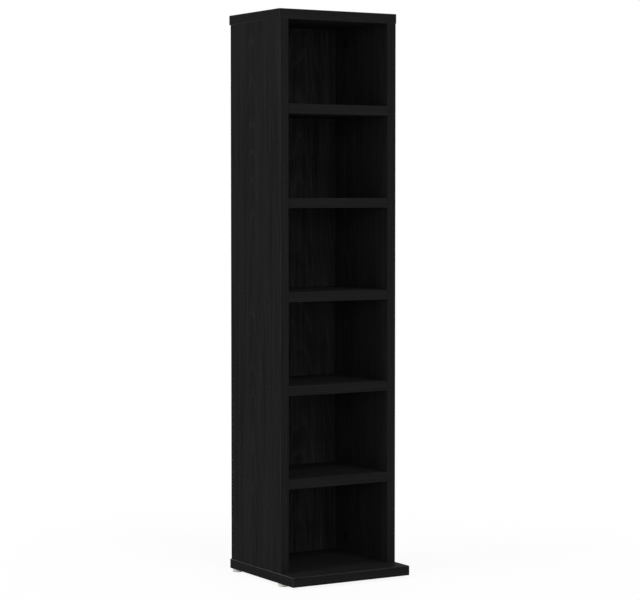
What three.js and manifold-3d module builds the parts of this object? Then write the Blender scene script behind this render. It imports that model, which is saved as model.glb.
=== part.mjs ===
// A narrow open storage tower for disc cases. Two sides stand between a top and a base, five fixed
// shelves make six equal compartments, and a thin panel closes the back. The base runs forward as a
// lip. Dowels and cam fittings hold the boards together, and the tower stands on four nailed glides.
// Millimetres. X runs to the right, Y to the back and Z up. The origin is on the floor, at the centre
// of the tower's outline seen from above.

import * as THREE from 'three';
import { mergeVertices } from 'three/addons/utils/BufferGeometryUtils.js';
import Module from 'manifold-3d';

const wasm = await Module();
wasm.setup();

// Carcass
const towerWidth = 210;
const towerDepth = 200;
const towerHeight = 880;
const boardThickness = 15;
const sideSetback = 1;              // from the ends of the top and base to a side's outer face
const baseLip = 40;                 // the base runs this far forward of the sides
const shelfCount = 5;
const arris = 0.8;                  // chamfer along a banded edge

// Back panel
const backThickness = 3;
const backSetback = 2;              // from a side's outer face to the panel's edge

// Clearances
const boreClearance = 0.3;          // all round a fitting, and behind a nail's head
const boreBottomGap = 0.8;          // past a fitting's end
const overrun = 1;                  // a cut runs this far past the face that it opens

// Dowels
const dowelDiameter = 8;
const dowelLength = 30;
const dowelInFace = 10;             // sits in the board that is drilled in its face
const dowelChamfer = 0.9;
const dowelFlutes = 8;
const fluteDepth = 0.5;
const fittingInset = 32;            // from a joint's front and back ends to its fittings

// Cam bolts
const boltThreadDiameter = 5.4;
const boltThreadLength = 10;
const boltSleeveDiameter = 7;
const boltNeckDiameter = 4.4;
const boltHeadDiameter = 6.6;
const boltHeadLength = 3.4;
const boltHeadChamfer = 0.7;

// Cams
const camReach = 24;                // from a board's end to the cam's axis
const camFloor = 3;                 // board left under a cam
const camHollowRoom = 1.5;          // round the bolt's head, inside the cam
const camHeadRoom = 0.7;            // between the bolt's head and the cam's lid
const camWall = 2.7;
const camCrossLength = 9;
const camCrossWidth = 1.6;
const camCrossDepth = 1.8;

// Glides and their nails
const glideDiameter = 16;
const glideHeight = 5;
const glideChamfer = 1;
const glideFromFront = 4;           // from the sides' front plane to a front glide's centre
const glideFromBack = 10;           // from the tower's back to a back glide's centre
const glideNailDiameter = 2.2;
const glideNailLength = 14;
const glideNailHeadDiameter = 5;
const glideNailHeadHeight = 1;
const glideNailRecess = 1;          // from the floor up to the nail's head

// Nails of the back panel
const backNailDiameter = 1.6;
const backNailLength = 18;
const backNailHeadDiameter = 3.6;
const backNailHeadHeight = 0.8;
const backNailsPerSide = 3;
const backNailInset = 70;           // from the panel's upper and lower ends to the nearest nail

// Facets round a turned piece or a bore
const boreSides = 12;
const nailSides = 8;
const boltSides = 12;
const camSides = 24;
const glideSides = 24;

// Places that follow from the sizes
const bodyWidth = towerWidth - 2 * sideSetback;
const innerWidth = bodyWidth - 2 * boardThickness;
const sideX = (bodyWidth - boardThickness) / 2;
const backY = towerDepth / 2;
const backFaceY = backY - backThickness;
const frontY = baseLip - towerDepth / 2;
const topDepth = backY - frontY;
const bodyDepth = backFaceY - frontY;
const bodyY = (frontY + backFaceY) / 2;
const frontRowY = frontY + fittingInset;
const backRowY = backFaceY - fittingInset;
const baseZ = glideHeight + boardThickness / 2;
const baseTopZ = glideHeight + boardThickness;
const topZ = towerHeight - boardThickness / 2;
const topUnderZ = towerHeight - boardThickness;
const innerHeight = topUnderZ - baseTopZ;
const innerZ = (topUnderZ + baseTopZ) / 2;
const clearHeight = (innerHeight - shelfCount * boardThickness) / (shelfCount + 1);
const middleShelf = Math.ceil(shelfCount / 2);

const blackOak = new THREE.MeshStandardMaterial({ color: 0x1e1e1e, roughness: 0.5, metalness: 0 });
const blackHardboard = new THREE.MeshStandardMaterial({ color: 0x171615, roughness: 0.7, metalness: 0 });
const beech = new THREE.MeshStandardMaterial({ color: 0xcba478, roughness: 0.65, metalness: 0 });
const blackZinc = new THREE.MeshStandardMaterial({ color: 0x242426, roughness: 0.45, metalness: 0.8 });
const zincSteel = new THREE.MeshStandardMaterial({ color: 0xb9bcc0, roughness: 0.35, metalness: 1 });
const paleNylon = new THREE.MeshStandardMaterial({ color: 0xd6d6d2, roughness: 0.45, metalness: 0 });

const tower = new THREE.Group();
tower.name = 'storage_tower';

const left = { name: 'left', sign: -1 };
const right = { name: 'right', sign: 1 };
const ends = [left, right];

// Closed geometry as a solid that can be cut. Shared corners are merged, and the triangles that this
// flattens at a pole are left out.
function toSolid(geometry) {
  const bare = geometry.clone();
  bare.deleteAttribute('normal');
  bare.deleteAttribute('uv');
  const merged = mergeVertices(bare);
  const corners = merged.index.array;
  const triangles = [];
  for (let i = 0; i < corners.length; i += 3) {
    const [a, b, c] = corners.slice(i, i + 3);
    if (a !== b && b !== c && c !== a) triangles.push(a, b, c);
  }
  return new wasm.Manifold(new wasm.Mesh({
    numProp: 3,
    vertProperties: merged.attributes.position.array,
    triVerts: new Uint32Array(triangles),
  }));
}

function toGeometry(solid) {
  const mesh = solid.getMesh();
  const geometry = new THREE.BufferGeometry();
  geometry.setAttribute('position', new THREE.BufferAttribute(mesh.vertProperties, 3));
  geometry.setIndex(new THREE.BufferAttribute(mesh.triVerts, 1));
  geometry.computeVertexNormals();
  return geometry;
}

function withCuts(geometry, cutters) {
  const solid = cutters.reduce((rest, cutter) => rest.subtract(toSolid(cutter)), toSolid(geometry));
  return toGeometry(solid);
}

// A profile of [radius, height] pairs turned round the Z axis, listed upwards on its outer side.
function turned(profile, sides) {
  const points = profile.map(([radius, height]) => new THREE.Vector2(radius, height));
  return new THREE.LatheGeometry(points, sides).rotateX(Math.PI / 2);
}

// The cutter of a round bore along Z. Its facets lie outside the circle that the fitting needs.
function bore(fittingRadius, from, to) {
  const radius = (fittingRadius + boreClearance) / Math.cos(Math.PI / boreSides);
  const cylinder = new THREE.CylinderGeometry(radius, radius, to - from, boreSides);
  return cylinder.rotateX(Math.PI / 2).translate(0, 0, (from + to) / 2);
}

// A block between two corners.
function block(low, high) {
  const size = high.map((value, i) => value - low[i]);
  const centre = high.map((value, i) => (value + low[i]) / 2);
  return new THREE.BoxGeometry(...size).translate(...centre);
}

// A pose whose Z axis runs along a fitting and whose Y axis points at the surface that a cam is let into.
function pose(point, along, opening) {
  const z = new THREE.Vector3(...along);
  const y = new THREE.Vector3(...opening);
  const x = new THREE.Vector3().crossVectors(y, z);
  return new THREE.Matrix4().makeBasis(x, y, z).setPosition(...point);
}

function addPiece(name, geometry, material, matrix) {
  const mesh = new THREE.Mesh(geometry, material);
  mesh.name = name;
  mesh.applyMatrix4(matrix);
  tower.add(mesh);
}

// What the fittings take out of each board, in the tower's frame, under the board's name.
const cuts = new Map();

function cut(board, cutter, matrix) {
  const list = cuts.get(board) ?? [];
  list.push(cutter.applyMatrix4(matrix));
  cuts.set(board, list);
}

// A board's geometry is centred on itself. The bores that its fittings need are taken out of it.
function addBoard(name, geometry, material, centre) {
  const toBoard = new THREE.Matrix4().makeTranslation(...centre).invert();
  const cutters = (cuts.get(name) ?? []).map((cutter) => cutter.clone().applyMatrix4(toBoard));
  addPiece(name, withCuts(geometry, cutters), material, new THREE.Matrix4().setPosition(...centre));
}

// Section of a board with square ends: thickness along X, depth along Y, its two front corners cut off.
function bandedSection() {
  const x = boardThickness / 2;
  const y = bodyDepth / 2;
  return new THREE.Shape([
    new THREE.Vector2(-x + arris, -y),
    new THREE.Vector2(x - arris, -y),
    new THREE.Vector2(x, -y + arris),
    new THREE.Vector2(x, y),
    new THREE.Vector2(-x, y),
    new THREE.Vector2(-x, -y + arris),
  ]);
}

// A side or a shelf: the section runs along Z, centred.
function squareEndedBoard(length) {
  const board = new THREE.ExtrudeGeometry(bandedSection(), { depth: length, bevelEnabled: false });
  return board.translate(0, 0, -length / 2);
}

// The top or the base: banded on every edge, so every edge and corner has its chamfer.
function bandedBoard(width, depth) {
  const x = width / 2;
  const y = depth / 2;
  const outline = new THREE.Shape([
    new THREE.Vector2(-x + arris, -y),
    new THREE.Vector2(x - arris, -y),
    new THREE.Vector2(x, -y + arris),
    new THREE.Vector2(x, y - arris),
    new THREE.Vector2(x - arris, y),
    new THREE.Vector2(-x + arris, y),
    new THREE.Vector2(-x, y - arris),
    new THREE.Vector2(-x, -y + arris),
  ]);
  const board = new THREE.ExtrudeGeometry(outline, {
    depth: boardThickness - 2 * arris,
    bevelThickness: arris,
    bevelSize: arris,
    bevelOffset: -arris,
    bevelSegments: 1,
  });
  return board.translate(0, 0, arris - boardThickness / 2);
}

// A fluted dowel. Its joint plane is at zero, and it reaches further into the board drilled in its end.
function dowelGeometry() {
  const points = [];
  for (let i = 0; i < 2 * dowelFlutes; i += 1) {
    const radius = dowelDiameter / 2 - (i % 2) * fluteDepth;
    const angle = (i * Math.PI) / dowelFlutes;
    points.push(new THREE.Vector2(radius * Math.cos(angle), radius * Math.sin(angle)));
  }
  const dowel = new THREE.ExtrudeGeometry(new THREE.Shape(points), {
    depth: dowelLength - 2 * dowelChamfer,
    bevelThickness: dowelChamfer,
    bevelSize: dowelChamfer,
    bevelOffset: -dowelChamfer,
    bevelSegments: 1,
  });
  return dowel.translate(0, 0, dowelChamfer - dowelInFace);
}

// The hollow of a cam and where the bolt's head bears on its wall, beside the slot for the neck.
const boltHeadRadius = boltHeadDiameter / 2;
const camHollowRadius = boltHeadRadius + camHollowRoom;
const camRadius = camHollowRadius + camWall;
const camBottomY = camFloor - boardThickness / 2;
const camCeilingY = boltHeadRadius + camHeadRoom;
const headBearing = Math.sqrt((camHollowRadius - boreClearance) ** 2 - boltHeadRadius ** 2);
const boltHeadZ = camReach - headBearing;

// A cam bolt: thread in the face of one board, sleeve, neck and head in the end of the other.
function boltGeometry() {
  const thread = boltThreadDiameter / 2;
  const sleeve = boltSleeveDiameter / 2;
  const neck = boltNeckDiameter / 2;
  const sleeveEnd = camReach - camRadius - boreClearance;
  const headEnd = boltHeadZ + boltHeadLength;
  return turned([
    [0, -boltThreadLength],
    [thread, thread - boltThreadLength],
    [thread, boreClearance],
    [sleeve, boreClearance],
    [sleeve, sleeveEnd],
    [neck, sleeveEnd],
    [neck, boltHeadZ],
    [boltHeadRadius, boltHeadZ],
    [boltHeadRadius, headEnd - boltHeadChamfer],
    [boltHeadRadius - boltHeadChamfer, headEnd],
    [0, headEnd],
  ], boltSides);
}

// A cam: a cup that opens into the board, with a slot for the bolt's neck, a wider way in for its head
// at a quarter turn from it, and a cross for the screwdriver in its lid.
function camGeometry() {
  const top = boardThickness / 2;
  const below = camBottomY - overrun;
  const height = top - camBottomY;
  const neck = boltNeckDiameter / 2 + boreClearance;
  const entry = boltHeadRadius + boreClearance;
  const length = camCrossLength / 2;
  const width = camCrossWidth / 2;
  const crossY = top - camCrossDepth;
  const body = new THREE.CylinderGeometry(camRadius, camRadius, height, camSides);
  body.translate(0, (top + camBottomY) / 2, camReach);
  const hollow = new THREE.CylinderGeometry(camHollowRadius, camHollowRadius, camCeilingY - below, camSides);
  hollow.translate(0, (camCeilingY + below) / 2, camReach);
  return withCuts(body, [
    hollow,
    block([-neck, below, camReach - camRadius - overrun], [neck, neck, camReach]),
    block([0, below, camReach - entry], [camRadius + overrun, camCeilingY, camReach + entry]),
    block([-length, crossY, camReach - width], [length, top + overrun, camReach + width]),
    block([-width, crossY, camReach - length], [width, top + overrun, camReach + length]),
  ]);
}

// A nail driven along Z. Its head's outer face is at zero.
function nailGeometry(diameter, length, headDiameter, headHeight) {
  const radius = diameter / 2;
  return turned([
    [0, 0],
    [headDiameter / 2, 0],
    [headDiameter / 2, headHeight],
    [radius, headHeight],
    [radius, length - diameter],
    [0, length],
  ], nailSides);
}

// A glide: a disc with a chamfered foot and a counterbored hole for its nail.
function glideGeometry() {
  const radius = glideDiameter / 2;
  const hole = glideNailDiameter / 2 + boreClearance;
  const counterbore = glideNailHeadDiameter / 2 + boreClearance;
  const seat = glideNailRecess + glideNailHeadHeight + boreClearance;
  return turned([
    [hole, glideHeight],
    [hole, seat],
    [counterbore, seat],
    [counterbore, 0],
    [radius - glideChamfer, 0],
    [radius, glideChamfer],
    [radius, glideHeight],
    [hole, glideHeight],
  ], glideSides);
}

const dowel = dowelGeometry();
const bolt = boltGeometry();
const cam = camGeometry();
const glide = glideGeometry();
const glideNail = nailGeometry(
  glideNailDiameter, glideNailLength, glideNailHeadDiameter, glideNailHeadHeight,
);
const backNail = nailGeometry(backNailDiameter, backNailLength, backNailHeadDiameter, backNailHeadHeight);

function addDowel(name, matrix, faceBoard, endBoard) {
  addPiece(name, dowel, beech, matrix);
  const radius = dowelDiameter / 2;
  cut(faceBoard, bore(radius, -dowelInFace - boreBottomGap, overrun), matrix);
  cut(endBoard, bore(radius, -overrun, dowelLength - dowelInFace + boreBottomGap), matrix);
}

function addCamFitting(name, end, matrix, faceBoard, endBoard) {
  addPiece(`${name}_cam_bolt_${end.name}`, bolt, zincSteel, matrix);
  addPiece(`${name}_cam_${end.name}`, cam, blackZinc, matrix);
  cut(faceBoard, bore(boltThreadDiameter / 2, -boltThreadLength - boreBottomGap, overrun), matrix);
  cut(endBoard, bore(boltSleeveDiameter / 2, -overrun, camReach), matrix);
  const surface = boardThickness / 2 + overrun;
  const pocket = bore(camRadius, camBottomY - boreBottomGap, surface);
  cut(endBoard, pocket.rotateX(-Math.PI / 2).translate(0, 0, camReach), matrix);
}

// The ends of the sides, under the top and on the base: a dowel in front and a cam fitting behind.
function addSideJoint(name, board, end, z, up) {
  const side = `${end.name}_side`;
  const at = (y) => pose([end.sign * sideX, y, z], [0, 0, up], [-end.sign, 0, 0]);
  addDowel(`${name}_dowel_${end.name}`, at(frontRowY), board, side);
  addCamFitting(name, end, at(backRowY), board, side);
}

// A shelf's end: two dowels, or on the middle shelf a dowel in front and a cam fitting behind.
function addShelfJoint(name, end, z, isCammed) {
  const side = `${end.name}_side`;
  const at = (y) => pose([(end.sign * innerWidth) / 2, y, z], [-end.sign, 0, 0], [0, 0, -1]);
  addDowel(`${name}_dowel_${end.name}_front`, at(frontRowY), side, name);
  if (isCammed) addCamFitting(name, end, at(backRowY), side, name);
  else addDowel(`${name}_dowel_${end.name}_back`, at(backRowY), side, name);
}

function shelfZ(number) {
  return baseTopZ + number * clearHeight + (number - 0.5) * boardThickness;
}

function addShelf(number) {
  const name = `shelf_${number}`;
  const z = shelfZ(number);
  ends.forEach((end) => addShelfJoint(name, end, z, number === middleShelf));
  addBoard(name, squareEndedBoard(innerWidth).rotateY(Math.PI / 2), blackOak, [0, bodyY, z]);
}

function addGlide(place, end, y) {
  const x = end.sign * sideX;
  addPiece(`glide_${place}_${end.name}`, glide, paleNylon, pose([x, y, 0], [0, 0, 1], [0, 1, 0]));
  const matrix = pose([x, y, glideNailRecess], [0, 0, 1], [0, 1, 0]);
  addPiece(`glide_nail_${place}_${end.name}`, glideNail, zincSteel, matrix);
  cut('base_panel', bore(glideNailDiameter / 2, 0, glideNailLength + boreBottomGap), matrix);
}

// The panel's nails go into the part of each side's back edge that the panel covers.
function addBackNails(end) {
  const inner = innerWidth / 2;
  const outer = bodyWidth / 2 - backSetback;
  const x = (end.sign * (inner + outer)) / 2;
  const step = (innerHeight - 2 * backNailInset) / (backNailsPerSide - 1);
  for (let i = 0; i < backNailsPerSide; i += 1) {
    const z = baseTopZ + backNailInset + i * step;
    const matrix = pose([x, backY, z], [0, -1, 0], [0, 0, 1]);
    addPiece(`back_nail_${end.name}_${i + 1}`, backNail, zincSteel, matrix);
    cut('back_panel', bore(backNailHeadDiameter / 2, -overrun, backNailHeadHeight + boreClearance), matrix);
    cut('back_panel', bore(backNailDiameter / 2, 0, backThickness + overrun), matrix);
    cut(`${end.name}_side`, bore(backNailDiameter / 2, 0, backNailLength + boreBottomGap), matrix);
  }
}

for (let number = 1; number <= shelfCount; number += 1) addShelf(number);

ends.forEach((end) => {
  addSideJoint('top', 'top_panel', end, topUnderZ, -1);
  addSideJoint('base', 'base_panel', end, baseTopZ, 1);
  addGlide('front', end, frontY + glideFromFront);
  addGlide('back', end, backY - glideFromBack);
  addBackNails(end);
});

ends.forEach((end) => {
  addBoard(`${end.name}_side`, squareEndedBoard(innerHeight), blackOak, [end.sign * sideX, bodyY, innerZ]);
});
addBoard('top_panel', bandedBoard(towerWidth, topDepth), blackOak, [0, (frontY + backY) / 2, topZ]);
addBoard('base_panel', bandedBoard(towerWidth, towerDepth), blackOak, [0, 0, baseZ]);

const backWidth = bodyWidth - 2 * backSetback;
addBoard(
  'back_panel',
  new THREE.BoxGeometry(backWidth, backThickness, innerHeight),
  blackHardboard,
  [0, backY - backThickness / 2, innerZ],
);

export default tower;
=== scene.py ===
"""A storage tower for disc cases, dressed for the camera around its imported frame.

Metres, in the frame's own axes: X to the right, Y to the back, Z up, origin on the floor.
The boards are copied from the frame, with room made for the edging that is glued to them.
Edging, glides, nails, dowels and bolts are surfaces worked out from formulas.
"""

import math
from collections import namedtuple

import bmesh
import bpy
import numpy as np
from bpy.props import FloatProperty, FloatVectorProperty, IntProperty, PointerProperty
from mathutils import Matrix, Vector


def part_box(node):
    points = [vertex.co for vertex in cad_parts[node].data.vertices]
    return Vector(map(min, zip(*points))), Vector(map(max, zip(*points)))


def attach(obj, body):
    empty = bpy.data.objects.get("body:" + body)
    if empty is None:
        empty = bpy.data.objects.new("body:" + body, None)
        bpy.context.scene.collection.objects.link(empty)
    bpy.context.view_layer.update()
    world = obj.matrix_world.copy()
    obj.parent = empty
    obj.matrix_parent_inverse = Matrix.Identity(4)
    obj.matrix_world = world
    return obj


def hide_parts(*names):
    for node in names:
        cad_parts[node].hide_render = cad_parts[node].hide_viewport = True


bl_info = {
    "name": "Disc case storage tower",
    "version": (1, 0, 0),
    "blender": (4, 5, 0),
    "location": "3D View > Sidebar > Tower",
    "description": "Boards, edging, fittings, glides and studio of a narrow storage tower",
    "category": "Object",
}

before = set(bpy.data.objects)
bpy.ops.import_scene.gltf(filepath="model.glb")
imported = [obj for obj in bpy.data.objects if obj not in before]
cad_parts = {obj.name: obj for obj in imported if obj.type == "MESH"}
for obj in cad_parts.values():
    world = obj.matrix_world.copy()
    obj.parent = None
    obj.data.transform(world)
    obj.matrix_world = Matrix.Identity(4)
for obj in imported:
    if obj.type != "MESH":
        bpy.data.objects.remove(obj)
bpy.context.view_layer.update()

MM = 0.001
BODY = "root"
FULL_TURN = 2 * math.pi

# Axes, the two ends of a box along an axis, and the sides of a box: an axis and an end.
X, Y, Z = 0, 1, 2
LOW, HIGH = 0, 1
LEFT, RIGHT = (X, LOW), (X, HIGH)
FRONT, BACK = (Y, LOW), (Y, HIGH)
UNDER, UPPER = (Z, LOW), (Z, HIGH)
SIDE_NAMES = {LEFT: "left", RIGHT: "right", FRONT: "front", BACK: "back"}

SHELVES = ("shelf_1", "shelf_2", "shelf_3", "shelf_4", "shelf_5")
SIDES = ("left_side", "right_side")
PANELS = ("top_panel", "base_panel")
BACK_PANEL = "back_panel"


class TowerSizes(bpy.types.PropertyGroup):
    """Sizes that the looks add to the frame's own."""

    edging: FloatProperty(
        name="Edging", description="Thickness of the strips glued to the boards' edges",
        default=1.0 * MM, min=0.9 * MM, max=2.5 * MM, unit="LENGTH",
    )
    arris: FloatProperty(
        name="Arris", description="Radius of the rounded edges of the edging",
        default=0.8 * MM, min=0.2 * MM, max=0.8 * MM, unit="LENGTH",
    )
    arc_steps: IntProperty(
        name="Arc steps", description="Facets in half of a rounded edge",
        default=4, min=1, max=8,
    )
    flutes: IntProperty(
        name="Flutes", description="Grooves along a dowel",
        default=16, min=6, max=24,
    )
    flute_depth: FloatProperty(
        name="Flute depth", description="Depth of a dowel's grooves",
        default=0.35 * MM, min=0.05 * MM, max=0.5 * MM, unit="LENGTH",
    )
    thread_pitch: FloatProperty(
        name="Thread pitch", description="Distance between the turns of a cam bolt's thread",
        default=1.8 * MM, min=1.0 * MM, max=3.0 * MM, unit="LENGTH",
    )


class TowerFinish(bpy.types.PropertyGroup):
    """Colours of the tower's finishes."""

    oak_dark: FloatVectorProperty(
        name="Oak, dark", description="Darkest tone of the black oak print",
        default=(0.0051, 0.0051, 0.0051), min=0, max=1, subtype="COLOR",
    )
    oak_light: FloatVectorProperty(
        name="Oak, light", description="Lightest tone of the black oak print",
        default=(0.0172, 0.0172, 0.0172), min=0, max=1, subtype="COLOR",
    )
    edging_dark: FloatVectorProperty(
        name="Edging, dark", description="Darkest tone of the edging",
        default=(0.0036, 0.0036, 0.0036), min=0, max=1, subtype="COLOR",
    )
    edging_light: FloatVectorProperty(
        name="Edging, light", description="Lightest tone of the edging",
        default=(0.0121, 0.0121, 0.0121), min=0, max=1, subtype="COLOR",
    )
    # A lighter tone painted on the edging's arrises: a painted highlight where light catches the rounded
    # edges, with some wear.
    edging_highlight_and_wear: FloatVectorProperty(
        name="Edging, rubbed", description="Tone of the edging's rounded edges where hands rub them",
        default=(0.1120, 0.1120, 0.1120), min=0, max=1, subtype="COLOR",
    )
    print_dark: FloatVectorProperty(
        name="Back print, dark", description="Darkest tone of the back panel's printed face",
        default=(0.0037, 0.0037, 0.0037), min=0, max=1, subtype="COLOR",
    )
    print_light: FloatVectorProperty(
        name="Back print, light", description="Lightest tone of the back panel's printed face",
        default=(0.0214, 0.0214, 0.0214), min=0, max=1, subtype="COLOR",
    )
    hardboard_dark: FloatVectorProperty(
        name="Hardboard, dark", description="Darkest tone of the back panel's rear",
        default=(0.0040, 0.0036, 0.0032), min=0, max=1, subtype="COLOR",
    )
    hardboard_light: FloatVectorProperty(
        name="Hardboard, light", description="Lightest tone of the back panel's rear",
        default=(0.0125, 0.0105, 0.0090), min=0, max=1, subtype="COLOR",
    )
    beech: FloatVectorProperty(
        name="Beech", description="Dowels",
        default=(0.60, 0.37, 0.19), min=0, max=1, subtype="COLOR",
    )
    cam_zinc: FloatVectorProperty(
        name="Cam zinc", description="Cams",
        default=(0.0080, 0.0080, 0.0080), min=0, max=1, subtype="COLOR",
    )
    steel: FloatVectorProperty(
        name="Steel", description="Nails and cam bolts",
        default=(0.48, 0.50, 0.53), min=0, max=1, subtype="COLOR",
    )
    nylon: FloatVectorProperty(
        name="Nylon", description="Glides",
        default=(0.60, 0.60, 0.57), min=0, max=1, subtype="COLOR",
    )


class TowerStudio(bpy.types.PropertyGroup):
    """Light, floor and camera."""

    sky: FloatProperty(
        name="Sky", description="Strength of the even light from all round",
        default=0.4, min=0, max=2,
    )
    key_lamp: FloatProperty(
        name="Key lamp", description="Power of the soft lamp low at the front left",
        default=311.0, min=0, unit="POWER",
    )
    fill_lamp: FloatProperty(
        name="Fill lamp", description="Power of the soft lamp low in front",
        default=201.0, min=0, unit="POWER",
    )
    side_lamp: FloatProperty(
        name="Side lamp", description="Power of the soft lamp above the left side",
        default=409.0, min=0, unit="POWER",
    )
    front_lamp: FloatProperty(
        name="Front lamp", description="Power of the soft lamp above the front",
        default=453.0, min=0, unit="POWER",
    )
    rear_lamp: FloatProperty(
        name="Rear lamp", description="Power of the soft lamp behind the right side",
        default=500.0, min=0, unit="POWER",
    )
    floor: FloatVectorProperty(
        name="Floor", description="Colour of the floor",
        default=(0.86, 0.86, 0.86), min=0, max=1, subtype="COLOR",
    )
    lens: FloatProperty(
        name="Lens", description="Focal length of the camera in millimetres",
        default=117.394, min=20, max=300, unit="CAMERA",
    )


class Wire:
    """A value in a node sheet. Arithmetic on it, with numbers or other wires, adds Math nodes."""

    def __init__(self, sheet, socket):
        self.sheet = sheet
        self.socket = socket

    def __add__(self, other):
        return self.sheet.maths("ADD", self, other)

    def __sub__(self, other):
        return self.sheet.maths("SUBTRACT", self, other)

    def __rsub__(self, other):
        return self.sheet.maths("SUBTRACT", other, self)

    def __mul__(self, other):
        return self.sheet.maths("MULTIPLY", self, other)

    def __truediv__(self, other):
        return self.sheet.maths("DIVIDE", self, other)

    def __rtruediv__(self, other):
        return self.sheet.maths("DIVIDE", other, self)

    __radd__ = __add__
    __rmul__ = __mul__


WHITE = (1, 1, 1, 1)

# Numbers of the Mix node's sockets for colours.
MIX_SHARE, MIX_FIRST, MIX_SECOND = 0, 6, 7
MIX_RESULT = 2


class Sheet:
    """The nodes of one material or of the world."""

    def __init__(self, tree):
        self.tree = tree
        tree.nodes.clear()

    def add(self, kind, settings=None, sockets=None, output=0):
        """Adds a node: its settings first, then its sockets' values or wires, by name or number."""
        node = self.tree.nodes.new(kind)
        for name, value in (settings or {}).items():
            setattr(node, name, value)
        for name, value in (sockets or {}).items():
            if isinstance(value, Wire):
                self.tree.links.new(value.socket, node.inputs[name])
            else:
                node.inputs[name].default_value = value
        return Wire(self, node.outputs[output]) if node.outputs else None

    def maths(self, operation, *values):
        """One operation on numbers or wires."""
        return self.add("ShaderNodeMath", {"operation": operation}, dict(enumerate(values)))

    def vector(self, x, y, z):
        """A vector from its three numbers."""
        return self.add("ShaderNodeCombineXYZ", None, {"X": x, "Y": y, "Z": z})

    def parts(self, vector):
        """The three numbers of a vector, each as a wire."""
        node = self.add("ShaderNodeSeparateXYZ", None, {"Vector": vector}).socket.node
        return [Wire(self, output) for output in node.outputs]

    def attribute(self, name, output):
        """What a piece's points carry under a name, as a vector or as a number."""
        return self.add("ShaderNodeAttribute", {"attribute_name": name}, output=output)

    def noise(self, place, scale=1.0, detail=2.0, roughness=0.5):
        """Soft noise from 0 to 1 with its middle at 0.5."""
        sockets = {"Vector": place, "Scale": scale, "Detail": detail, "Roughness": roughness}
        return self.add("ShaderNodeTexNoise", None, sockets)

    def between(self, value, start, end):
        """0 where the value is below start, 1 above end, and a smooth rise between them."""
        settings = {"interpolation_type": "SMOOTHSTEP"}
        sockets = {"Value": value, "From Min": start, "From Max": end}
        return self.add("ShaderNodeMapRange", settings, sockets)

    def blend(self, share, first, second):
        """The first colour where the share is 0, and the second where it is 1."""
        sockets = {MIX_SHARE: share, MIX_FIRST: colour(first), MIX_SECOND: colour(second)}
        return self.add("ShaderNodeMix", {"data_type": "RGBA"}, sockets, MIX_RESULT)

    def bump(self, height, distance, strength):
        """A normal from a height between 0 and 1, where 1 stands for the distance."""
        sockets = {"Height": height, "Distance": distance, "Strength": strength}
        return self.add("ShaderNodeBump", None, sockets)

    def finish(self, **sockets):
        """Adds the shader and the output. Socket names have their spaces replaced by underscores."""
        named = {name.replace("_", " "): value for name, value in sockets.items()}
        shader = self.add("ShaderNodeBsdfPrincipled", None, named)
        self.add("ShaderNodeOutputMaterial", None, {"Surface": shader})


def colour(value):
    """A wire as it is, and three numbers with a full alpha after them."""
    return value if isinstance(value, Wire) else (*value, 1.0)


def new_material(name):
    """An empty material and the sheet of its nodes."""
    material = bpy.data.materials.new(name)
    material.use_nodes = True
    return material, Sheet(material.node_tree)


# Names of the materials made so far, by the functions that make them.
KEPT = {}


def kept(make):
    """The material that a function makes, made once and then found again by the function's name."""
    found = bpy.data.materials.get(KEPT.get(make.__name__, ""))
    if found is None:
        found = make()
        KEPT[make.__name__] = found.name
    return found


# Sizes of the oak print's noises in millimetres: across and through the grain, and along it.
SWAY = (70, 420)
WAVER = (11, 70)
STREAKS = (1.6, 120)
BROAD = (9, 260)
DASHES = (0.34, 9)

# Middle of a noise.
MIDDLE = 0.5

# Depth of the rings' core behind the face, in millimetres.
CORE_DEPTH = 34

# The shares of a ring over which its early part rises and falls, and the early part's mean.
EARLY_RISE = 0.05
EARLY_FALL = 0.42
EARLY_MEAN = 0.3

# How much the early part raises the dashes, and the levels between which a dash becomes a pore.
PORE_CROWDING = 0.10
PORE_LEVELS = (0.60, 0.70)

OakPrint = namedtuple("OakPrint", "tone pores early streaks")


def grain_place(sheet):
    """The distances across, through and along the grain, in millimetres, from the grain attribute."""
    return [part / MM for part in sheet.parts(sheet.attribute("grain", "Vector"))]


def drawn_out(sheet, place, size, detail=2.0, roughness=0.5):
    """Noise with one size across and through the grain, and another along it."""
    across, through, along = place
    width, length = size
    stretched = sheet.vector(across / width, through / width, along / length)
    return sheet.noise(stretched, detail=detail, roughness=roughness)


def oak_print(
    sheet, place, taper=0.085, sway_reach=46.0, pitch=6.4, ring_tone=0.34, streak_tone=0.9, broad_tone=0.9,
):
    """Tone and relief of the printed oak at a place across, through and along the grain.

    Rings lie round a line behind the board, and each grows wider along it by the taper, so the face
    cuts them in long nested arcs. Fine streaks and short pores run along the grain, and the pores
    crowd where a ring starts. The sway reach is how far slow noise moves the rings, in millimetres,
    as the pitch is.
    """
    across, through, along = place
    sway = drawn_out(sheet, place, SWAY) - MIDDLE
    waver = drawn_out(sheet, place, WAVER) - MIDDLE
    core = through + CORE_DEPTH
    distance = sheet.maths("SQRT", across * across + core * core)
    rings = (distance + along * taper + sway * sway_reach + waver * (pitch / 2)) / pitch
    phase = sheet.maths("FRACT", rings)
    early = (1 - sheet.between(phase, 0.0, EARLY_FALL)) * sheet.between(phase, 0.0, EARLY_RISE)

    streaks = drawn_out(sheet, place, STREAKS, detail=3.0, roughness=0.6)
    broad = drawn_out(sheet, place, BROAD)
    dashes = drawn_out(sheet, place, DASHES, detail=1.0)
    pores = sheet.between(dashes + early * PORE_CROWDING, *PORE_LEVELS)

    tone = MIDDLE + (early - EARLY_MEAN) * ring_tone
    tone = tone + (streaks - MIDDLE) * streak_tone + (broad - MIDDLE) * broad_tone
    return OakPrint(tone, pores, early, streaks)


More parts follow.
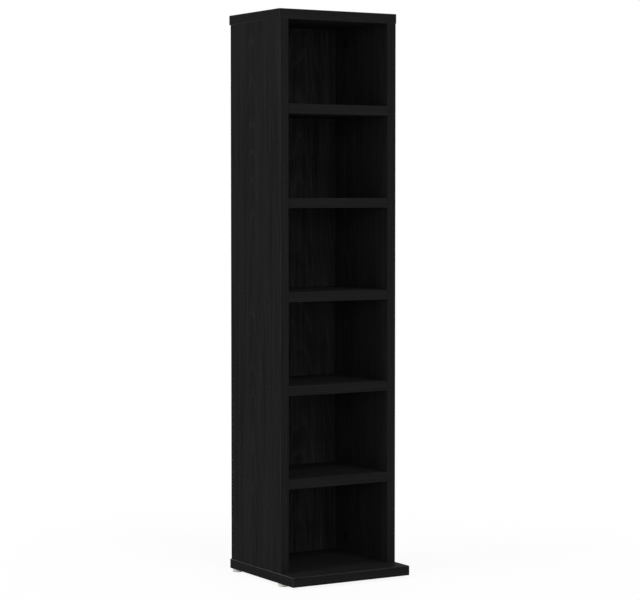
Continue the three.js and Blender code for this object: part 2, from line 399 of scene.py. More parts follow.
def oak_laminate():
    """Black oak laminate: a printed foil with pressed pores."""
    finish = bpy.context.scene.tower_finish
    pore_shade, pore_depth, ring_depth = 0.35, 0.8, 0.2
    rough, streak_rough, pore_rough = 0.46, 0.10, 0.16
    material, sheet = new_material("Black oak laminate")
    oak = oak_print(sheet, grain_place(sheet))
    tone = sheet.maths("MAXIMUM", oak.tone - oak.pores * pore_shade, 0.0)
    relief = 1 - oak.pores * pore_depth - oak.early * ring_depth
    sheet.finish(
        Base_Color=sheet.blend(tone, finish.oak_dark, finish.oak_light),
        Roughness=rough + oak.streaks * streak_rough + oak.pores * pore_rough,
        Normal=sheet.bump(relief, distance=0.06 * MM, strength=0.5),
        Specular_IOR_Level=0.005,
    )
    return material


def oak_edging():
    """Black edging: the same print, smoother, with a painted highlight and some wear along its arrises, and
    dark at the glue line.
    """
    finish = bpy.context.scene.tower_finish
    edging = bpy.context.scene.tower_sizes.edging
    pore_shade, pore_depth, ring_depth = 0.25, 0.5, 0.1
    rough, streak_rough, glue_rough, worn_polish = 0.44, 0.08, 0.3, 0.08
    # How patchy the arrises' painted highlight and wear are along the streaks.
    least_highlight_and_wear, highlight_and_wear_levels = 0.45, (0.35, 0.75)
    glue_shade, glue_from, glue_to = 0.6, 0.16 * MM, 0.02 * MM
    material, sheet = new_material("Black oak edging")
    place = grain_place(sheet)
    oak = oak_print(sheet, place, taper=0.003, sway_reach=7.0, pitch=3.6, broad_tone=0.3)
    patchy = least_highlight_and_wear + (1 - least_highlight_and_wear) * sheet.between(oak.streaks, *highlight_and_wear_levels)
    # The arrises are painted lighter from the strip's attribute: a painted highlight where light catches
    # them, with some wear.
    arris_highlight_and_wear = sheet.attribute("rub", "Fac") * patchy
    glue = sheet.between(sheet.attribute("depth", "Fac"), edging - glue_from, edging - glue_to)
    tone = sheet.maths("MAXIMUM", oak.tone - oak.pores * pore_shade - glue * glue_shade, 0.0)
    face = sheet.blend(tone, finish.edging_dark, finish.edging_light)
    relief = 1 - oak.pores * pore_depth - oak.early * ring_depth - glue
    sheet.finish(
        Base_Color=sheet.blend(arris_highlight_and_wear, face, finish.edging_highlight_and_wear),
        Roughness=rough + oak.streaks * streak_rough + glue * glue_rough - arris_highlight_and_wear * worn_polish,
        Normal=sheet.bump(relief, distance=0.05 * MM, strength=0.4),
        Specular_IOR_Level=0.016,
    )
    return material


def printed_hardboard():
    """Thin hardboard: printed oak towards the compartments, and the mark of a wire screen behind.

    The screen's mark is the product of two sines, one across and one along. The rear is where the
    place through the board lies beyond the rear's levels, in millimetres from the middle.
    """
    finish = bpy.context.scene.tower_finish
    pore_shade, pore_depth = 0.3, 0.6
    rough, rear_rough, streak_rough = 0.50, 0.28, 0.08
    rear_levels = (1.2, 1.4)
    screen_pitch, screen_share = 1.9, 0.55
    fibre_tone, patch_tone, tone_drop = 0.7, 0.6, 0.15
    material, sheet = new_material("Black hardboard")
    place = grain_place(sheet)
    across, through, along = place
    oak = oak_print(sheet, place, ring_tone=0.3, streak_tone=1.2, broad_tone=1.2)
    tone = sheet.maths("MAXIMUM", oak.tone - oak.pores * pore_shade, 0.0)
    face = sheet.blend(tone, finish.print_dark, finish.print_light)

    whole = sheet.vector(across, through, along)
    fibres = sheet.noise(whole, scale=0.9, detail=4.0, roughness=0.65)
    patches = sheet.noise(whole, scale=0.02, detail=3.0)
    raw_tone = fibres * fibre_tone + patches * patch_tone - tone_drop
    raw = sheet.blend(raw_tone, finish.hardboard_dark, finish.hardboard_light)
    turn = FULL_TURN / screen_pitch
    screen = 0.5 + sheet.maths("SINE", across * turn) * sheet.maths("SINE", along * turn) * 0.5

    rear = sheet.between(through, *rear_levels)
    rear_relief = screen * screen_share + fibres * (1 - screen_share)
    relief = (1 - rear) * (1 - oak.pores * pore_depth) + rear * rear_relief
    sheet.finish(
        Base_Color=sheet.blend(rear, face, raw),
        Roughness=rough + rear * rear_rough + oak.streaks * streak_rough,
        Normal=sheet.bump(relief, distance=0.08 * MM, strength=0.6),
        Specular_IOR_Level=0.005,
    )
    return material


def plain_finish(name, light, metal, rough, reflection, scale):
    """A finish for small fittings: one noise changes the colour, the roughness and the relief."""
    shade, rough_change = 0.72, 0.2
    dark = [part * shade for part in light]
    material, sheet = new_material(name)
    mottle = sheet.noise(sheet.add("ShaderNodeTexCoord", output="Object"), scale, detail=3.0)
    sheet.finish(
        Base_Color=sheet.blend(mottle, dark, light),
        Metallic=metal,
        Roughness=rough - rough_change / 2 + mottle * rough_change,
        Normal=sheet.bump(mottle, distance=0.03 * MM, strength=0.5),
        Specular_IOR_Level=reflection,
    )
    return material


def beech():
    """Bare beech, for the dowels."""
    light = bpy.context.scene.tower_finish.beech
    return plain_finish("Beech", light, metal=0.0, rough=0.62, reflection=0.35, scale=900.0)


def cam_zinc():
    """Blackened zinc, for the cams."""
    light = bpy.context.scene.tower_finish.cam_zinc
    return plain_finish("Black zinc", light, metal=0.3, rough=0.55, reflection=0.05, scale=1400.0)


def steel():
    """Plated steel, for the nails and the bolts."""
    light = bpy.context.scene.tower_finish.steel
    return plain_finish("Plated steel", light, metal=1.0, rough=0.34, reflection=0.5, scale=1600.0)


def nylon():
    """Milky moulded nylon, which lets a little light in."""
    light = bpy.context.scene.tower_finish.nylon
    shade, rough, cloud_rough, grit_rough = 0.82, 0.34, 0.12, 0.10
    dark = [part * shade for part in light]
    material, sheet = new_material("Milky nylon")
    place = sheet.add("ShaderNodeTexCoord", output="Object")
    cloud = sheet.noise(place, scale=260.0)
    grit = sheet.noise(place, scale=2600.0)
    sheet.finish(
        Base_Color=sheet.blend(cloud, dark, light),
        Roughness=rough + cloud * cloud_rough + grit * grit_rough,
        Normal=sheet.bump(grit, distance=0.02 * MM, strength=0.5),
        Subsurface_Weight=0.35,
        Subsurface_Scale=2 * MM,
    )
    return material


MERGE_WITHIN = 0.002 * MM
FLAT_BELOW = MERGE_WITHIN / 4
SMOOTH_BELOW = math.radians(35)


def tidy(mesh):
    """Merges points that lie together, drops faces with no area, and turns the faces outwards.

    The merging closes seams and poles.
    """
    work = bmesh.new()
    work.from_mesh(mesh)
    bmesh.ops.remove_doubles(work, verts=work.verts, dist=MERGE_WITHIN)
    bmesh.ops.dissolve_degenerate(work, edges=work.edges, dist=FLAT_BELOW)
    bmesh.ops.recalc_face_normals(work, faces=work.faces)
    work.to_mesh(mesh)
    work.free()


def new_piece(name, points, faces, material, replaced=()):
    """A closed mesh on the body, standing for the frame's nodes that it replaces."""
    mesh = bpy.data.meshes.new(name)
    mesh.from_pydata(points.tolist(), [], faces.tolist())
    tidy(mesh)
    mesh.shade_smooth()
    mesh.set_sharp_from_angle(angle=SMOOTH_BELOW)
    mesh.materials.append(material)
    piece = bpy.data.objects.new(name, mesh)
    bpy.context.scene.collection.objects.link(piece)
    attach(piece, BODY)
    if replaced:
        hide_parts(*replaced)
    return piece


def frame_nodes(word, unwanted=None):
    """Names of the frame's nodes that have a word in them, and not an unwanted one, in order."""
    found = sorted(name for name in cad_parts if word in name)
    return [name for name in found if unwanted is None or unwanted not in name]


def node_box(node):
    """Lowest and highest corner of a node, as arrays."""
    low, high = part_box(node)
    return np.array(low), np.array(high)


def drawn_in(low, high, sides, amount):
    """A box with some of its sides moved inwards by an amount."""
    low, high = low.copy(), high.copy()
    for axis, end in sides:
        if end == LOW:
            low[axis] += amount
        else:
            high[axis] -= amount
    return low, high


def point_array(mesh):
    """The points of a mesh, one to a row."""
    places = np.empty(len(mesh.vertices) * 3, np.float32)
    mesh.vertices.foreach_get("co", places)
    return places.reshape(-1, 3).astype(float)


# Corners of the frame's triangles that lie this close are one point.
SNAP = 0.001 * MM


def frame_shape(node):
    """Points and triangles of a node of the frame, with its loose triangles' shared corners merged."""
    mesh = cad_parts[node].data
    places = point_array(mesh)
    corners = np.empty(len(mesh.loops), np.int32)
    mesh.loops.foreach_get("vertex_index", corners)
    keys = np.round(places / SNAP).astype(np.int64)
    _, first, same = np.unique(keys, axis=0, return_index=True, return_inverse=True)
    triangles = same.reshape(-1)[corners].reshape(-1, 3)
    return places[first], triangles


def lay_grain(piece, along, across, start):
    """Writes the grain attribute: distances across, through and along the grain from the centre.

    The start moves the figure across and along, so that no two pieces are cut from the same print.
    """
    places = point_array(piece.data)
    centre = (places.min(0) + places.max(0)) / 2
    through = ({X, Y, Z} - {along, across}).pop()
    local = (places - centre)[:, [across, through, along]]
    local += np.array([start[0], 0.0, start[1]])
    layer = piece.data.attributes.new("grain", "FLOAT_VECTOR", "POINT")
    layer.data.foreach_set("vector", local.astype(np.float32).ravel())


def write_values(piece, name, values):
    """Writes an attribute of one number to a point."""
    layer = piece.data.attributes.new(name, "FLOAT", "POINT")
    layer.data.foreach_set("value", values.astype(np.float32))


def board_grain(name):
    """Axes along and across a board's grain."""
    if name in SIDES:
        return Z, Y
    if name == BACK_PANEL:
        return Z, X
    return X, Y


def banded_sides(name):
    """The sides of a board that have edging."""
    if name in PANELS:
        return (LEFT, RIGHT, FRONT, BACK)
    if name == BACK_PANEL:
        return ()
    return (FRONT,)


# Where the prints start, across and along, in metres: ranges to draw from, and the back panel's place.
BOARD_ACROSS = (-0.045, 0.045)
EDGING_ACROSS = (0.06, 0.11)
ALONG = (0.3, 2.8)
BACK_START = (-0.023, 0.968)
BOARD_SEED = 20
EDGING_SEED = 21


def figure_starts():
    """Where each board's print starts."""
    draw = np.random.default_rng(BOARD_SEED)
    starts = {}
    for name in (*PANELS, *SIDES, *SHELVES):
        starts[name] = (draw.uniform(*BOARD_ACROSS), draw.uniform(*ALONG))
    starts[BACK_PANEL] = BACK_START
    return starts


# Points of a glued face this near its edge are corners of a chamfer.
CHAMFER_REACH = 0.9 * MM


def add_board(name, start):
    """Copies a board and moves the points of its banded edges back to where the edging is glued.

    The corners of the chamfers on those edges end up on the glued face, and go to its corners.
    """
    edging = bpy.context.scene.tower_sizes.edging
    points, triangles = frame_shape(name)
    low, high = drawn_in(points.min(0), points.max(0), banded_sides(name), edging)
    points = np.clip(points, low, high)
    for axis, end in banded_sides(name):
        glued = np.isclose(points[:, axis], (low, high)[end][axis], rtol=0, atol=SNAP)
        for other in {X, Y, Z} - {axis}:
            for edge in (low[other], high[other]):
                chamfered = glued & (np.abs(points[:, other] - edge) < CHAMFER_REACH)
                points[chamfered, other] = edge
    is_back = name == BACK_PANEL
    material = kept(printed_hardboard if is_back else oak_laminate)
    piece = new_piece(f"{name}_board", points, triangles, material, (name,))
    along, across = board_grain(name)
    lay_grain(piece, along, across, start)


# How far inside a rounded edge its inner line stands, the decimals of a line's place, and a length
# that stands in for none.
SUPPORT = 0.12 * MM
LINE_DECIMALS = 9
TINY = 1e-12


def eased_lines(low, high, is_low_eased, is_high_eased, radius, steps):
    """Grid lines along one axis: close together in each rounded edge, with one line just inside it.

    A line at an angle a from the flat, up to 45 degrees, stands radius * tan(a) outside the inner box.
    """
    fan = radius * np.tan(np.linspace(0, math.pi / 4, steps + 1))
    lines = [low, high]
    if is_low_eased:
        lines += [*(low + radius - fan), low + radius + SUPPORT]
    if is_high_eased:
        lines += [*(high - radius + fan), high - radius - SUPPORT]
    return np.unique(np.round(lines, LINE_DECIMALS))


def box_surface(lines):
    """The six faces of a box as grids of points and their quads, turned outwards.

    A face's points stand where the lines of two axes cross, at one end of the third axis. At its low
    end the quads' corners run the other way round.
    """
    points, quads, count = [], [], 0
    for axis in (X, Y, Z):
        first, second = (axis + 1) % 3, (axis + 2) % 3
        u, v = np.meshgrid(lines[first], lines[second], indexing="ij")
        rows, columns = u.shape
        i, j = np.meshgrid(np.arange(rows - 1), np.arange(columns - 1), indexing="ij")
        corner = i * columns + j
        ring = np.stack([corner, corner + columns, corner + columns + 1, corner + 1], -1).reshape(-1, 4)
        for end, order in ((0, -1), (-1, 1)):
            face = np.empty((rows * columns, 3))
            face[:, axis] = lines[axis][end]
            face[:, first] = u.ravel()
            face[:, second] = v.ravel()
            points.append(face)
            quads.append(ring[:, ::order] + count)
            count += rows * columns
    return np.concatenate(points), np.concatenate(quads)


def eased_slab(low, high, eased, radius, steps):
    """A slab whose edges between two eased sides are rounded, and the other edges sharp.

    A point on the plain box keeps its nearest point on the box shrunk by the radius on the eased
    sides. Its offset from there is scaled by its largest part over its length, which bends squares
    to circles.
    """
    inner_low, inner_high = drawn_in(low, high, eased, radius)
    lines = [
        eased_lines(low[axis], high[axis], (axis, LOW) in eased, (axis, HIGH) in eased, radius, steps)
        for axis in (X, Y, Z)
    ]
    points, quads = box_surface(lines)
    nearest = np.clip(points, inner_low, inner_high)
    offset = points - nearest
    length = np.maximum(np.linalg.norm(offset, axis=1, keepdims=True), TINY)
    scale = np.abs(offset).max(1, keepdims=True) / length
    return nearest + offset * scale, quads, inner_low, inner_high


# How strongly the edging's arrises are painted lighter, by board and on the shelves: a painted highlight,
# with some wear.
HIGHLIGHT_AND_WEAR = {"base_panel": 1.0, "top_panel": 0.45, "left_side": 0.15, "right_side": 0.15}
SHELF_HIGHLIGHT_AND_WEAR = 0.05

# The share of the painted highlight and wear on the long strips of the top and base, and on arrises that
# face inwards.
LONG_SHARE = 0.32
INWARD_SHARE = 0.15


def add_strip(name, low, high, side, eased, along, start, rub):
    """A strip of edging, glued on the side opposite the one it faces. The highlight and wear is how
    strongly its arrises are painted lighter: a painted highlight, with some wear.

    The painted highlight and wear follow the second largest part of a point's offset, which peaks midway
    round an arris.
    """
    sizes = bpy.context.scene.tower_sizes
    through, end = side
    across = ({X, Y, Z} - {along, through}).pop()
    points, quads, inner_low, inner_high = eased_slab(low, high, eased, sizes.arris, sizes.arc_steps)
    piece = new_piece(name, points, quads, kept(oak_edging))
    lay_grain(piece, along, across, start)
    places = point_array(piece.data)
    offset = (places - np.clip(places, inner_low, inner_high)) / sizes.arris
    slant = np.sort(np.abs(offset), axis=1)[:, -2]
    share = np.where(offset[:, X] * (low[X] + high[X]) < 0, INWARD_SHARE, 1.0)
    # This attribute carries the arrises' painted highlight, with some wear.
    write_values(piece, "rub", rub * share * np.clip(slant / math.sin(math.pi / 4), 0, 1))
    write_values(piece, "depth", np.abs(places[:, through] - (low, high)[end][through]))


def strip_plan():
    """Every strip of edging: its board, the side it faces, the sides that are eased, its long axis."""
    plan = []
    for name in SIDES:
        plan.append((name, FRONT, {LEFT, RIGHT, FRONT}, Z))
    for name in SHELVES:
        plan.append((name, FRONT, {UNDER, UPPER, FRONT}, X))
    for name in PANELS:
        for side in (FRONT, BACK):
            plan.append((name, side, {LEFT, RIGHT, UNDER, UPPER, side}, X))
        for side in (LEFT, RIGHT):
            plan.append((name, side, {UNDER, UPPER, side}, Y))
    return plan


def add_edging():
    """The strips. Those at the ends of the top and base run between the ones in front and behind."""
    edging = bpy.context.scene.tower_sizes.edging
    draw = np.random.default_rng(EDGING_SEED)
    for name, side, eased, along in strip_plan():
        low, high = node_box(name)
        through, end = side
        if end == LOW:
            high[through] = low[through] + edging
        else:
            low[through] = high[through] - edging
        if along == Y:
            low, high = drawn_in(low, high, (FRONT, BACK), edging)
        start = (draw.uniform(*EDGING_ACROSS), draw.uniform(*ALONG))
        # How strongly this strip's arrises get the painted highlight and wear.
        rub = HIGHLIGHT_AND_WEAR.get(name, SHELF_HIGHLIGHT_AND_WEAR)
        if name in PANELS and along == X:
            rub *= LONG_SHARE
        add_strip(f"{name}_edging_{SIDE_NAMES[side]}", low, high, side, eased, along, start, rub)


def turned_grid(radii, heights, is_ring=False):
    """Points and quads of a surface turned round Z: radii by height and angle, and the heights.

    A point stands at (r cos a, r sin a, h). A ring's last row joins its first, and other shapes end
    at poles.
    """
    rows, columns = radii.shape
    angle = np.linspace(0, FULL_TURN, columns, endpoint=False)
    flat = np.stack([radii * np.cos(angle), radii * np.sin(angle)], -1)
    points = np.concatenate([flat, np.broadcast_to(heights[:, None, None], (rows, columns, 1))], -1)
    spans = rows if is_ring else rows - 1
    i, j = np.meshgrid(np.arange(spans), np.arange(columns), indexing="ij")
    below, beside = (i + 1) % rows, (j + 1) % columns
    corners = [i * columns + j, i * columns + beside, below * columns + beside, below * columns + j]
    return points.reshape(-1, 3), np.stack(corners, -1).reshape(-1, 4)


def profile_grid(profile, columns, is_ring=False):
    """A turned surface whose radius is the same all round, from a profile in millimetres."""
    profile = np.array(profile) * MM
    radii = np.repeat(profile[:, :1], columns, axis=1)
    return turned_grid(radii, profile[:, 1], is_ring)


def arc(centre, radius, start, end, steps):
    """Points of a profile on an arc, from one angle to another in degrees.

    A point stands off the centre by the radius times the angle's cosine and sine.
    """
    angle = np.radians(np.linspace(start, end, steps + 1))
    return [(centre[0] + radius * math.cos(a), centre[1] + radius * math.sin(a)) for a in angle]


def stand(points, origin, axis, sign):
    """Moves points whose length runs along Z to an origin, with their Z towards one end of an axis."""
    first, second = (axis + 1) % 3, (axis + 2) % 3
    placed = np.empty_like(points)
    placed[:, axis] = points[:, 2] * sign
    placed[:, first] = points[:, 0]
    placed[:, second] = points[:, 1] * sign
    return placed + origin


def add_turned(node, word, grid, side, material):
    """A turned surface in place of a node, its height zero on one side of the node's box."""
    points, quads = grid
    axis, end = side
    low, high = node_box(node)
    origin = (low + high) / 2
    origin[axis] = (low, high)[end][axis]
    placed = stand(points, origin, axis, 1 if end == LOW else -1)
    new_piece(f"{node}_{word}", placed, quads, material, (node,))


def dowel_grid(length, radius):
    """A fluted dowel, its middle at zero.

    A ring's radius is the dowel's less the groove, and no more than the chamfer leaves at its height.
    The groove's depth follows half of one less the cosine, once a flute, to a power that widens it.
    """
    sizes = bpy.context.scene.tower_sizes
    chamfer, past_chamfer = 0.9 * MM, 2.0 * MM
    columns_to_a_flute, widening = 4, 0.7
    rise = np.array([0.0, 0.0, chamfer / 2, chamfer, past_chamfer])
    heights = np.concatenate([rise, [length / 2], length - rise[::-1]])
    angle = np.linspace(0, FULL_TURN, columns_to_a_flute * sizes.flutes, endpoint=False)
    groove = sizes.flute_depth * (0.5 - 0.5 * np.cos(sizes.flutes * angle)) ** widening
    reach = np.minimum(heights, length - heights)
    limit = np.minimum(radius - chamfer + reach, radius)[:, None]
    radii = np.minimum(limit, radius - groove[None, :])
    radii[[0, -1]] = 0.0
    return turned_grid(radii, heights - length / 2)


def add_dowels():
    """The dowels, each along the longest side of its node's box."""
    for node in frame_nodes("_dowel_"):
        low, high = node_box(node)
        axis = int(np.argmax(high - low))
        across = (axis + 1) % 3
        points, quads = dowel_grid(high[axis] - low[axis], (high[across] - low[across]) / 2)
        placed = stand(points, (low + high) / 2, axis, 1)
        new_piece(f"{node}_fluted", placed, quads, kept(beech), (node,))


def bolt_grid(length):
    """A cam bolt, its tip at zero: a thread that winds round a core, then sleeve, neck and head.

    The thread's ridge stands where the angle over a full turn, less the height over the pitch, is
    half past a whole number. Near the tip no radius is larger than the height.
    """
    pitch = bpy.context.scene.tower_sizes.thread_pitch
    columns, thread_rows, steepness, gap = 32, 56, 4, 0.02 * MM
    core, crest, sleeve, neck, head, recess = 2.05, 2.7, 3.5, 2.2, 3.3, 0.9
    thread_top, sleeve_top, head_height, recess_depth = 10.3, 26.15, 3.4, 0.5
    sleeve_edge, head_edge, crown, half_crown = 0.15, 0.2, 0.7, 0.28

    rings = np.linspace(0, thread_top * MM - gap, thread_rows)
    angle = np.linspace(0, FULL_TURN, columns, endpoint=False)
    turn = np.mod(angle[None, :] / FULL_TURN - rings[:, None] / pitch, 1.0)
    ridge = np.clip(1 - np.abs(turn - 0.5) * steepness, 0, 1)
    thread = np.minimum((core + (crest - core) * ridge) * MM, rings[:, None])

    top = length / MM
    head_low = top - head_height
    plain = np.array([
        (crest, thread_top), (sleeve - sleeve_edge, thread_top), (sleeve, thread_top + sleeve_edge),
        (sleeve, sleeve_top - sleeve_edge), (sleeve - sleeve_edge, sleeve_top), (neck, sleeve_top),
        (neck, head_low), (head - head_edge, head_low), (head, head_low + head_edge),
        (head, top - crown), (head - head_edge, top - half_crown), (head - crown, top),
        (recess, top), (recess, top - recess_depth), (0.0, top - recess_depth),
    ]) * MM
    radii = np.concatenate([thread, np.repeat(plain[:, :1], columns, axis=1)])
    return turned_grid(radii, np.concatenate([rings, plain[:, 1]]))


def tip_side(node):
    """The side of a cam bolt's box that its tip is on."""
    if node.startswith("top_"):
        return UPPER
    if node.startswith("base_"):
        return UNDER
    return LEFT if node.endswith("_left") else RIGHT


def add_cam_bolts():
    """The cam bolts, each as long as its node's box is from its tip."""
    for node in frame_nodes("_cam_bolt_"):
        low, high = node_box(node)
        side = tip_side(node)
        axis = side[0]
        grid = bolt_grid(high[axis] - low[axis])
        add_turned(node, "threaded", grid, side, kept(steel))


# The angle within which the cams' triangles lie in one plane, and the bevel's width, steps and least angle.
FLAT_WITHIN = math.radians(1)
CAM_EDGE = 0.14 * MM
CAM_EDGE_STEPS = 2
CAM_EDGE_OVER = math.radians(40)


def join_flat_faces(mesh):
    """Makes one face of the triangles that lie in one plane."""
    work = bmesh.new()
    work.from_mesh(mesh)
    bmesh.ops.dissolve_limit(work, angle_limit=FLAT_WITHIN, verts=work.verts, edges=work.edges)
    work.to_mesh(mesh)
    work.free()


def add_cams():
    """The cams, copied from the frame, with their edges given a fine bevel."""
    for node in frame_nodes("_cam_", "_bolt_"):
        points, triangles = frame_shape(node)
        piece = new_piece(f"{node}_cast", points, triangles, kept(cam_zinc), (node,))
        join_flat_faces(piece.data)
        bevel = piece.modifiers.new("Cast edges", "BEVEL")
        bevel.width = CAM_EDGE
        bevel.segments = CAM_EDGE_STEPS
        bevel.limit_method = "ANGLE"
        bevel.angle_limit = CAM_EDGE_OVER
        bevel.use_clamp_overlap = True


# Nails in millimetres.
GLIDE_NAIL = {"length": 14.0, "radius": 1.1, "head_radius": 2.5, "head_height": 1.0}
BACK_NAIL = {"length": 18.0, "radius": 0.8, "head_radius": 1.8, "head_height": 0.8}
NAIL_COLUMNS = 24
GLIDE_COLUMNS = 64


def nail_profile(length, radius, head_radius, head_height):
    """A nail with its head's outer face at zero: a low crown, a rim, a ringed shank and a point.

    The crown is given by shares of the head's radius and the height at each.
    """
    crown, tip = [(0.0, 0.0), (0.55, 0.02), (0.85, 0.10)], 2.2 * radius
    rim, rim_height, edge = 0.3, 0.45, 0.12
    grips, first_grip, grip_step, grip_width = 4, 0.7, 0.55, 0.28
    shank = []
    for step in range(grips):
        height = head_height + first_grip + grip_step * step
        shank += [(radius, height), (radius - edge, height + grip_width / 2), (radius, height + grip_width)]
    return [
        *[(share * head_radius, height) for share, height in crown],
        *arc((head_radius - rim, rim_height), rim, -60, 0, 3),
        (head_radius, head_height - edge), (head_radius - edge, head_height), (radius, head_height),
        *shank, (radius, length - tip), (0.0, length),
    ]


def glide_profile():
    """Half a glide's section: bore, counterbore, foot with a shallow ring, rounded rim and seat."""
    bore, counterbore, outside = 1.4, 2.8, 8.0
    height, ledge = 5.0, 2.3
    lip, rim, seat = 0.2, 1.2, 0.25
    ring, half_ring = 5.5, [(0.6, 0.0), (0.5, 0.05), (0.35, 0.3)]
    return [
        (bore, height), (bore, ledge), (counterbore, ledge), (counterbore, lip),
        *arc((counterbore + lip, lip), lip, 180, 270, 3),
        *[(ring - reach, depth) for reach, depth in half_ring],
        *[(ring + reach, depth) for reach, depth in half_ring[::-1]],
        *arc((outside - rim, rim), rim, -90, 0, 6),
        (outside, height - seat), *arc((outside - seat, height - seat), seat, 0, 90, 3),
    ]


def add_glides():
    """The glides, and the nails that hold them, from below."""
    for node in frame_nodes("glide_", "_nail_"):
        grid = profile_grid(glide_profile(), GLIDE_COLUMNS, is_ring=True)
        add_turned(node, "moulded", grid, UNDER, kept(nylon))
    for node in frame_nodes("glide_nail_"):
        grid = profile_grid(nail_profile(**GLIDE_NAIL), NAIL_COLUMNS)
        add_turned(node, "driven", grid, UNDER, kept(steel))


def add_back_nails():
    """The nails of the back panel, from behind."""
    for node in frame_nodes("back_nail_"):
        grid = profile_grid(nail_profile(**BACK_NAIL), NAIL_COLUMNS)
        add_turned(node, "driven", grid, BACK, kept(steel))


def seen_directly(sheet):
    """1 for rays from the camera and in reflections and glass, 0 for the rays that light things."""
    seen = sheet.add("ShaderNodeLightPath", output="Is Camera Ray")
    for name in ("Is Glossy Ray", "Is Transmission Ray"):
        seen = sheet.maths("MAXIMUM", seen, sheet.add("ShaderNodeLightPath", output=name))
    return seen


def light_world():
    """White to the camera and in reflections, and an even, weaker light on everything."""
    sky = bpy.context.scene.tower_studio.sky
    world = bpy.data.worlds.new("Studio")
    world.use_nodes = True
    bpy.context.scene.world = world
    sheet = Sheet(world.node_tree)
    strength = sky + seen_directly(sheet) * (1 - sky)
    light = sheet.add("ShaderNodeBackground", None, {"Color": WHITE, "Strength": strength})
    sheet.add("ShaderNodeOutputWorld", None, {"Surface": light})


# Half the floor's width, its share of plain white by the tower, and the distances over which that grows.
FLOOR_REACH = 9.0
FLOOR_WHITE = 0.92
FLOOR_LEVELS = (0.25, 0.9)


def lay_floor():
    """A pale floor that reads white to the camera, keeps a faint shadow, and is clear from below."""
    studio = bpy.context.scene.tower_studio
    mesh = bpy.data.meshes.new("studio_floor")
    corners = [(x * FLOOR_REACH, y * FLOOR_REACH, 0) for x, y in ((-1, -1), (1, -1), (1, 1), (-1, 1))]
    mesh.from_pydata(corners, [], [(0, 1, 2, 3)])
    floor = bpy.data.objects.new("studio_floor", mesh)
    bpy.context.scene.collection.objects.link(floor)
    material, sheet = new_material("Studio floor")
    place = sheet.add("ShaderNodeTexCoord", output="Object")
    away = sheet.add("ShaderNodeVectorMath", {"operation": "LENGTH"}, {0: place}, output="Value")
    camera_ray = sheet.add("ShaderNodeLightPath", output="Is Camera Ray")
    share = camera_ray * (FLOOR_WHITE + sheet.between(away, *FLOOR_LEVELS) * (1 - FLOOR_WHITE))
    matt = sheet.add("ShaderNodeBsdfDiffuse", None, {"Color": colour(studio.floor)})
    white = sheet.add("ShaderNodeEmission", None, {"Color": WHITE, "Strength": 1.0})
    upper = sheet.add("ShaderNodeMixShader", None, {0: share, 1: matt, 2: white})
    clear = sheet.add("ShaderNodeBsdfTransparent")
    behind = sheet.add("ShaderNodeNewGeometry", output="Backfacing")
    both = sheet.add("ShaderNodeMixShader", None, {0: behind, 1: upper, 2: clear})
    sheet.add("ShaderNodeOutputMaterial", None, {"Surface": both})
    mesh.materials.append(material)


LAMP_DISTANCE = 10.0
LAMP_SIZE = 4.0
LAMP_TARGET = (0.0, 0.0, 0.44)

# Each lamp's azimuth, 0 in front and 90 at the right, and its elevation, in degrees.
LAMP_PLACES = {
    "key_lamp": (-40, 5),
    "fill_lamp": (10, 5),
    "side_lamp": (-90, 40),
    "front_lamp": (0, 40),
    "rear_lamp": (150, 5),
}


def hang_lamp(name, power, azimuth, elevation):
    """A soft square lamp that faces the tower."""
    data = bpy.data.lights.new(name, "AREA")
    data.shape = "SQUARE"
    data.energy = power
    data.size = LAMP_SIZE
    lamp = bpy.data.objects.new(name, data)
    lamp.visible_camera = False
    lamp.visible_glossy = False
    bpy.context.scene.collection.objects.link(lamp)
    turn, rise = math.radians(azimuth), math.radians(elevation)
    way = np.array([math.sin(turn) * math.cos(rise), -math.cos(turn) * math.cos(rise), math.sin(rise)])
    aim(lamp, np.array(LAMP_TARGET) + LAMP_DISTANCE * way, np.array(LAMP_TARGET))


def aim(lamp, place, target):
    """Puts a lamp at its place with its -Z axis towards the target and its Y axis upwards."""
    back = place - target
    back /= np.linalg.norm(back)
    side = np.cross((0, 0, 1), back)
    side /= np.linalg.norm(side)
    up = np.cross(back, side)
    columns = np.column_stack([side, up, back])
    lamp.matrix_world = Matrix([[*columns[row], place[row]] for row in range(3)] + [[0, 0, 0, 1]])


# The camera stands at the front left, a little above the tower's middle, and looks slightly down.
CAMERA_PLACE = (-1.670623, -2.809038, 0.597013)
CAMERA_TILT = math.radians(90 - 2.51)
CAMERA_TURN = math.radians(-30.771)
CAMERA_SHIFT = -0.02
CAMERA_SENSOR = 36.0


def set_camera():
    """The camera, at the photograph's viewing angle."""
    data = bpy.data.cameras.new("Camera")
    data.sensor_width = CAMERA_SENSOR
    data.lens = bpy.context.scene.tower_studio.lens
    data.shift_y = CAMERA_SHIFT
    camera = bpy.data.objects.new("Camera", data)
    bpy.context.scene.collection.objects.link(camera)
    camera.location = CAMERA_PLACE
    camera.rotation_euler = (CAMERA_TILT, 0.0, CAMERA_TURN)
    bpy.context.scene.camera = camera


class TOWER_OT_boards(bpy.types.Operator):
    """Cut the ten boards: top, base, sides, shelves and back."""

    bl_idname = "tower.boards"
    bl_label = "Boards"

    def execute(self, context):
        for name, start in figure_starts().items():
            add_board(name, start)
        return {"FINISHED"}


class TOWER_OT_edging(bpy.types.Operator):
    """Glue the edging to the boards."""

    bl_idname = "tower.edging"
    bl_label = "Edging"

    def execute(self, context):
        add_edging()
        return {"FINISHED"}


class TOWER_OT_dowels(bpy.types.Operator):
    """Put the fluted dowels in the joints."""

    bl_idname = "tower.dowels"
    bl_label = "Dowels"

    def execute(self, context):
        add_dowels()
        return {"FINISHED"}


class TOWER_OT_cam_fittings(bpy.types.Operator):
    """Put in the cams and their bolts."""

    bl_idname = "tower.cam_fittings"
    bl_label = "Cam fittings"

    def execute(self, context):
        add_cam_bolts()
        add_cams()
        return {"FINISHED"}


class TOWER_OT_glides(bpy.types.Operator):
    """Nail the glides under the base."""

    bl_idname = "tower.glides"
    bl_label = "Glides"

    def execute(self, context):
        add_glides()
        return {"FINISHED"}


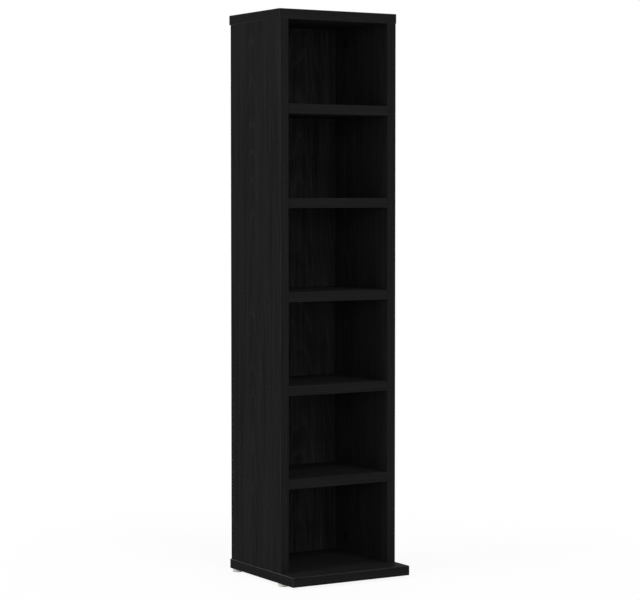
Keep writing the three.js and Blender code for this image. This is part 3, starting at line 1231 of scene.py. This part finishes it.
class TOWER_OT_back_nails(bpy.types.Operator):
    """Nail the back panel to the sides."""

    bl_idname = "tower.back_nails"
    bl_label = "Back nails"

    def execute(self, context):
        add_back_nails()
        return {"FINISHED"}


class TOWER_OT_studio(bpy.types.Operator):
    """Set up the light, the floor and the camera."""

    bl_idname = "tower.studio"
    bl_label = "Studio"

    def execute(self, context):
        studio = context.scene.tower_studio
        context.scene.view_settings.view_transform = "Standard"
        light_world()
        lay_floor()
        for lamp, (azimuth, elevation) in LAMP_PLACES.items():
            hang_lamp(lamp.replace("_", " ").capitalize(), getattr(studio, lamp), azimuth, elevation)
        set_camera()
        return {"FINISHED"}


class TOWER_PT_pieces(bpy.types.Panel):
    """The tower's pieces and studio, with their sizes and colours."""

    bl_label = "Storage tower"
    bl_space_type = "VIEW_3D"
    bl_region_type = "UI"
    bl_category = "Tower"

    def draw(self, context):
        column = self.layout.column()
        for operator in OPERATORS:
            column.operator(operator.bl_idname)
        for name, group in GROUPS.items():
            column.separator()
            for prop in group.__annotations__:
                column.prop(getattr(context.scene, name), prop)


OPERATORS = (
    TOWER_OT_boards,
    TOWER_OT_edging,
    TOWER_OT_dowels,
    TOWER_OT_cam_fittings,
    TOWER_OT_glides,
    TOWER_OT_back_nails,
    TOWER_OT_studio,
)

GROUPS = {
    "tower_sizes": TowerSizes,
    "tower_finish": TowerFinish,
    "tower_studio": TowerStudio,
}


def register():
    """Registers the classes, the groups first, and puts the groups on the scene."""
    for name, group in GROUPS.items():
        bpy.utils.register_class(group)
        setattr(bpy.types.Scene, name, PointerProperty(type=group))
    for item in (*OPERATORS, TOWER_PT_pieces):
        bpy.utils.register_class(item)


def unregister():
    """Takes away again what register added."""
    for item in reversed((*OPERATORS, TOWER_PT_pieces)):
        bpy.utils.unregister_class(item)
    for name, group in GROUPS.items():
        delattr(bpy.types.Scene, name)
        bpy.utils.unregister_class(group)


def main():
    """Makes the tower and its studio."""
    register()
    for operator in OPERATORS:
        family, name = operator.bl_idname.split(".")
        getattr(getattr(bpy.ops, family), name)()


if __name__ == "__main__":
    main()
